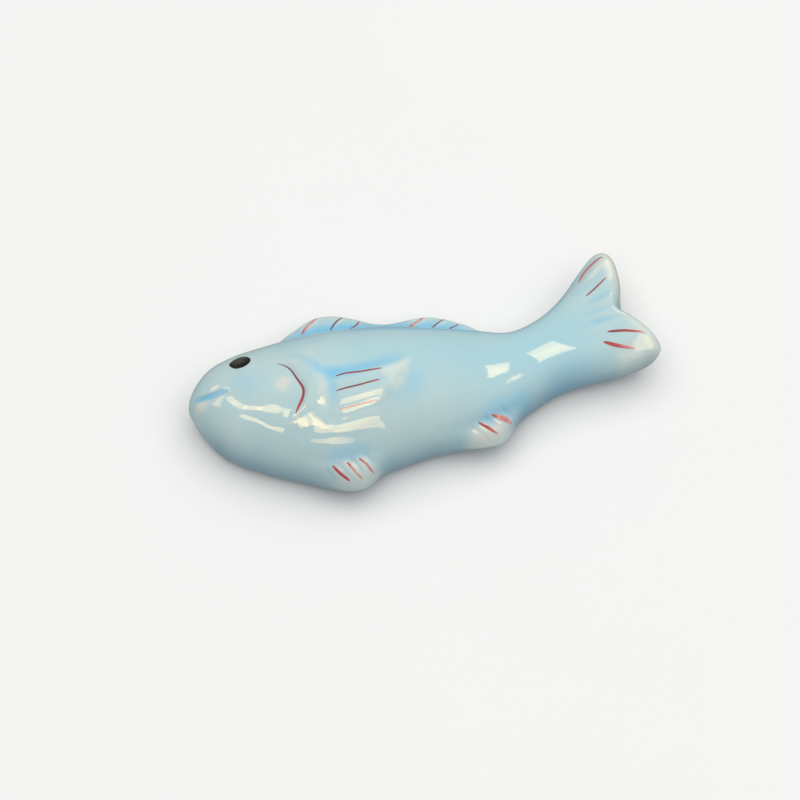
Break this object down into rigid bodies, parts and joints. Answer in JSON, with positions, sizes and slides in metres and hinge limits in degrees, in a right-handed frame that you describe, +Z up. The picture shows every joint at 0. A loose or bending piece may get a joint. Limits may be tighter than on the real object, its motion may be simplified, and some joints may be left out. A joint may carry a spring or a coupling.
{
  "type": "chopstick rest",
  "caption": "Glazed porcelain chopstick rest in the form of a fish lying on its side, with a low saddle before the tail and brushed enamel eye and fin marks.",
  "frame": {"origin": "on the surface that the rest stands on, under the middle of its outline", "axes": "+X from the fish's nose to its tail, +Y to its back, +Z up"},
  "size_m": [0.07, 0.0302, 0.0154],
  "materials": {
    "glazed_porcelain": "glossy transparent glaze over pale blue porcelain, bare on the foot",
    "black_enamel": "glossy fired enamel",
    "red_enamel": "thin glossy fired enamel, brushed on"
  },
  "bodies": {
    "root": {"porcelain_body": "glazed_porcelain", "eye_mark": "black_enamel", "gill_mark": "red_enamel", "pectoral_mark_1": "red_enamel", "pectoral_mark_2": "red_enamel", "pectoral_mark_3": "red_enamel", "front_dorsal_mark_1": "red_enamel", "front_dorsal_mark_2": "red_enamel", "front_dorsal_mark_3": "red_enamel", "rear_dorsal_mark_1": "red_enamel", "rear_dorsal_mark_2": "red_enamel", "rear_dorsal_mark_3": "red_enamel", "pelvic_mark_1": "red_enamel", "pelvic_mark_2": "red_enamel", "pelvic_mark_3": "red_enamel", "anal_mark_1": "red_enamel", "anal_mark_2": "red_enamel", "upper_tail_mark_1": "red_enamel", "upper_tail_mark_2": "red_enamel", "lower_tail_mark_1": "red_enamel", "lower_tail_mark_2": "red_enamel"}
  },
  "joints": []
}
